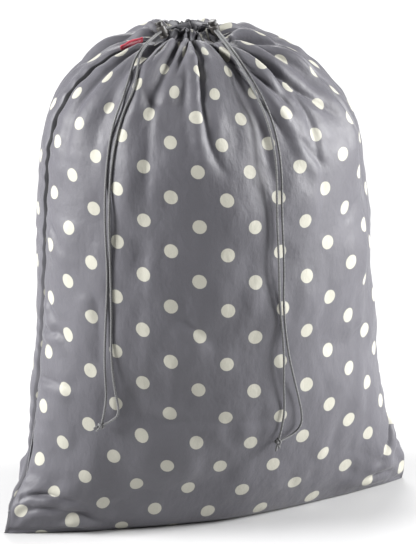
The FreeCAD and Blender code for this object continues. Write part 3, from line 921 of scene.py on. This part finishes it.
SIM_FRAMES = 26
CLOTH_REACH = 0.014  # the most that the cloth may move from the filled shape
GATHERED = 1.22  # the most flat cloth that a row may take up, for each metre of its own length


def settle(front, back):
    """Lets the cloth find its own wrinkles: springs as long as the flat cloth, over the filled shape."""
    whole_front, whole_back = front, back
    front, back = front[BASE_ROWS:], back[BASE_ROWS:]
    rows, cols = front.shape[:2]
    front_ids = np.arange(rows * cols).reshape(rows, cols)
    back_ids = np.full((rows, cols), -1)
    back_ids[:, 0], back_ids[:, -1] = front_ids[:, 0], front_ids[:, -1]
    free = back_ids < 0
    back_ids[free] = rows * cols + np.arange(free.sum())
    verts = np.concatenate((front.reshape(-1, 3), back[free]))
    faces = []
    for i in range(rows - 1):
        for j in range(cols - 1):
            faces.append((front_ids[i, j], front_ids[i, j + 1], front_ids[i + 1, j + 1], front_ids[i + 1, j]))
            faces.append((back_ids[i, j], back_ids[i + 1, j], back_ids[i + 1, j + 1], back_ids[i, j + 1]))
    obj = new_object("settling", verts, faces, CLOTH)
    # the rest shape is a tube as wide and long as the flat cloth, less the gathers that the grid can't hold
    around = sum(np.linalg.norm(np.diff(g, axis=1), axis=2).sum(axis=1) for g in (front, back))
    width = np.minimum(2 * PANEL_W, around * GATHERED)
    radius = np.convolve(np.pad(width, 3, mode="edge"), np.ones(7) / 7, "valid") / (2 * math.pi)
    cloth_v = BASE_DEPTH + row_v
    rise = np.sqrt(np.maximum(np.diff(cloth_v) ** 2 - np.diff(radius) ** 2, 1e-8))
    height = running(rise)
    turn = math.pi * SHARE
    rest = np.zeros_like(verts)
    for ids, sign in ((front_ids, -1), (back_ids, 1)):
        rest[ids, 0] = -radius[:, None] * np.cos(turn)
        rest[ids, 1] = sign * radius[:, None] * np.sin(turn)
        rest[ids, 2] = height[:, None]
    obj.shape_key_add(name="Basis")
    key = obj.shape_key_add(name="rest")
    key.data.foreach_set("co", rest.ravel())
    held = obj.vertex_groups.new(name="held")
    up = np.repeat((NECK_V - cloth_v)[:, None], cols, axis=1)
    weight = 0.10 + 0.25 * soft_step(-up, -0.09, -0.01)
    weight[:, 0] = weight[:, -1] = 0.45
    weight = np.maximum(weight, soft_step(-cloth_v, -BASE_DEPTH - 0.014, -BASE_DEPTH)[:, None])
    weight[up < 0.006] = 1
    whole = np.zeros(len(verts))
    whole[front_ids] = weight
    whole[back_ids] = weight
    for step in np.unique(np.round(whole, 2)):
        held.add([int(i) for i in np.nonzero(np.round(whole, 2) == step)[0]], float(step), "REPLACE")
    cloth = obj.modifiers.new("cloth", "CLOTH")
    rules = cloth.settings
    rules.quality = 6
    rules.mass = 0.12
    rules.air_damping = 3
    rules.tension_stiffness = 20
    rules.compression_stiffness = 20
    rules.shear_stiffness = 4
    rules.bending_stiffness = 0.35
    rules.use_pressure = True
    rules.uniform_pressure_force = 2.5
    rules.vertex_group_mass = "held"
    rules.pin_stiffness = 0.6
    rules.rest_shape_key = key
    rules.effector_weights.gravity = 0
    cloth.collision_settings.use_collision = False
    cloth.point_cache.frame_start = 1
    cloth.point_cache.frame_end = SIM_FRAMES
    for step in range(1, SIM_FRAMES + 1):
        scene.frame_set(step)
    done = obj.evaluated_get(bpy.context.evaluated_depsgraph_get()).to_mesh()
    moved = np.zeros(len(verts) * 3)
    done.vertices.foreach_get("co", moved)
    moved = moved.reshape(-1, 3)
    scene.frame_set(1)
    bpy.data.objects.remove(obj)
    shift = moved - verts
    size = np.linalg.norm(shift, axis=1)
    shift *= (np.tanh(size / CLOTH_REACH) * CLOTH_REACH / np.maximum(size, 1e-9))[:, None]
    moved = verts + shift
    moved[:, 2] = np.maximum(moved[:, 2], FLOOR_CLEAR)
    return (np.concatenate((whole_front[:BASE_ROWS], moved[front_ids])),
            np.concatenate((whole_back[:BASE_ROWS], moved[back_ids])))


front, back = settle(front, back)
front = keep_clear(front, front_out)
back = keep_clear(back, back_out)

# How the front panel's print lies off the plain flat cloth, as sums of powers: power across, power up, shift
# across and shift up in millimetres. They were fitted to the photograph's dots, which were placed one by one.
PRINT_SHIFT = ((0, 0, -3.61, 1.08), (0, 1, 5.66, -26.34), (0, 2, 1.16, 28.9), (0, 3, -14.22, -0.4),
               (1, 0, -16.09, 18.36), (1, 1, 14.13, -8.89), (1, 2, -8.06, -0.39), (2, 0, -19.57, -22.7),
               (2, 1, 8.52, 5.85), (3, 0, -7.13, -6.82))


def printed(flat):
    """Flat-cloth coordinates of the print, eased so the dots lie as they do on the real bag."""
    x = np.clip(flat[..., 0] / MM, -240, 190) / 250
    y = (np.clip(flat[..., 1] / MM, 60, 625) - 320) / 350
    shift = sum(x[..., None] ** i * y[..., None] ** j * np.array((across, up))
                for i, j, across, up in PRINT_SHIFT)
    return flat + shift * MM


def panel_object(name, grid, flat, side):
    """One panel: layer flat is where its print lies, and layer cut is the flat cloth itself."""
    rows, cols = grid.shape[:2]
    verts = grid.reshape(-1, 3)
    faces = []
    corners = []
    for i in range(rows - 1):
        for j in range(cols - 1):
            quad = [(i, j), (i, j + 1), (i + 1, j + 1), (i + 1, j)]
            if side > 0:
                quad.reverse()
            faces.append([a * cols + b for a, b in quad])
            corners += [a * cols + b for a, b in quad]
    obj = new_object(name, verts, faces, CLOTH)
    for layer, place in (("flat", printed(flat) if side < 0 else flat), ("cut", flat)):
        obj.data.uv_layers.new(name=layer).data.foreach_set("uv", place.reshape(-1, 2)[corners].ravel())
    smoothed(obj)
    thickened(obj, CLOTH_THICK, -1)
    return obj


front_obj = panel_object("cloth_front", front, front_flat, -1)
back_obj = panel_object("cloth_back", back, back_flat, 1)

# ---------------- hem stitching
STITCH, STITCH_GAP, STITCH_D = 0.0024, 0.0011, 0.00045
STITCH_STEP = 0.0003
STITCH_ROW = BASE_ROWS + len(row_m) + 1


def stitching(name, grid, out):
    """A row of short stitches lying on the cloth along one row of the grid."""
    line = even_steps(grid[STITCH_ROW] + out[STITCH_ROW] * 0.0004, STITCH_STEP)[0]
    per = max(int(STITCH / STITCH_STEP), 2)
    gap = max(int(STITCH_GAP / STITCH_STEP), 1)
    verts = []
    faces = []
    for start in range(2, len(line) - per - 2, per + gap):
        a, b = line[start], line[start + per]
        way = (b - a) / max(np.linalg.norm(b - a), 1e-6)
        across = np.cross(way, (0, 0, 1.0))
        across /= max(np.linalg.norm(across), 1e-6)
        up = np.cross(across, way)
        first = len(verts)
        for share, thick in ((0, 0.35), (0.18, 1), (0.5, 1.1), (0.82, 1), (1, 0.35)):
            middle = line[start + round(share * per)] + across * 0.00012
            verts += ring_points(middle, across, up, STITCH_D / 2 * thick, 6)
        faces += tube_faces(5, 6, first)
        faces.append([first + k for k in range(6)][::-1])
        faces.append([first + 24 + k for k in range(6)])
    return new_object(name, verts, faces, THREAD)


for side, obj, grid, out in (("front", front_obj, front, front_out), ("back", back_obj, back, back_out)):
    stitches = stitching("hem_stitching_" + side, grid, out)
    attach(stitches, "bag")
    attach(obj, "bag")
    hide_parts(side + "_panel", side + "_hem_channel")

# ---------------- side tag
TAG_PLACE = Vector((-88, 3.6, 553.4)) * MM
TAG_SLOPE, TAG_TILT = math.radians(-16), math.radians(38)
TAG_TURN = (Matrix.Translation(TAG_PLACE) @ Matrix.Rotation(TAG_SLOPE, 4, "Y")
            @ Matrix.Rotation(TAG_TILT, 4, "X"))


def side_tag():
    """Ribbon folded once, its two legs sewn into the side seam."""
    length, tall, thickness, sewn_in = 0.027, 0.0046, 0.0005, 0.003
    leg = tall * 0.82
    aside = 0.0005 + thickness / 2
    side = [(aside + 0.0002 * math.sin(math.pi * i / 8), leg * i / 8) for i in range(9)]
    side.insert(0, (aside, -sewn_in))
    turns = [math.pi * i / 8 for i in range(1, 8)]
    fold = [(-aside * math.cos(turn), leg + 0.0013 * math.sin(turn)) for turn in turns]
    profile = [(-y, z) for y, z in side] + fold + side[::-1]
    steps = 28
    verts = []
    for i in range(steps + 1):
        x = -length / 2 + length * i / steps
        bend = 0.0012 * math.sin(math.pi * i / steps) - 0.0004 * math.sin(3 * math.pi * i / steps)
        for y, z in profile:
            verts.append(TAG_TURN @ Vector((x, y + bend * max(z, 0) / tall, z)))
    width = len(profile)
    faces = [(i * width + k, i * width + k + 1, (i + 1) * width + k + 1, (i + 1) * width + k)
             for i in range(steps) for k in range(width - 1)]
    obj = new_object("red_side_tag", verts, faces, RED)
    obj.data.materials.append(RED_WOVEN)
    for i, face in enumerate(obj.data.polygons):
        along, across = divmod(i, width - 1)
        if 3 <= along < steps - 3 and (3 <= across <= 7 or 19 <= across <= 23):
            face.material_index = 1
    thickened(obj, thickness, 0)
    smoothed(obj)
    return obj


tag = side_tag()
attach(tag, "bag")
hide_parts("side_tag")

# ---------------- lock springs
SPRING_LOW, SPRING_HIGH = -0.00715, -0.00325  # its ends along the lock's axis, from the cord hole
SPRING_R, WIRE_D, SPRING_TURNS = 0.0028, 0.0004, 3


def lock_spring(name, hole, axis, run):
    """Coil between the barrel's floor and the plunger's foot."""
    side = run.cross(axis)
    verts = []
    per_turn = 32
    count = SPRING_TURNS * per_turn
    for i in range(count + 1):
        turn = 2 * math.pi * i / per_turn
        ray = side * math.cos(turn) + run * math.sin(turn)
        middle = hole + axis * (SPRING_LOW + (SPRING_HIGH - SPRING_LOW) * i / count) + ray * SPRING_R
        verts += ring_points(middle, ray, axis, WIRE_D / 2, 8)
    faces = [list(range(8)), [count * 8 + k for k in range(8)][::-1]]
    faces += [face[::-1] for face in tube_faces(count + 1, 8)]
    return new_object(name, verts, faces, STEEL)


for side, (hole, run, lean) in LOCKS.items():
    axis = lock_axis(run, lean)
    spring = lock_spring(side + "_spring_coil", hole, axis, run)
    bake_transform(spring)
    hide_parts(side + "_lock_spring")

# ---------------- CAD parts that stay
FINISHES = {"binding": TAPE, "drawcord_loop": LOOP, "lock_barrel": BARREL, "lock_plunger": BUTTON}
for name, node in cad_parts.items():
    for ending, material in FINISHES.items():
        if name.endswith(ending):
            node.data.materials.clear()
            node.data.materials.append(material)

# ---------------- floor
FLOOR_HALF = 14
corners = [(x * FLOOR_HALF, y * FLOOR_HALF, 0) for x, y in ((-1, -1), (1, -1), (1, 1), (-1, 1))]
floor = new_object("floor", corners, [(0, 1, 2, 3)], floor_material())
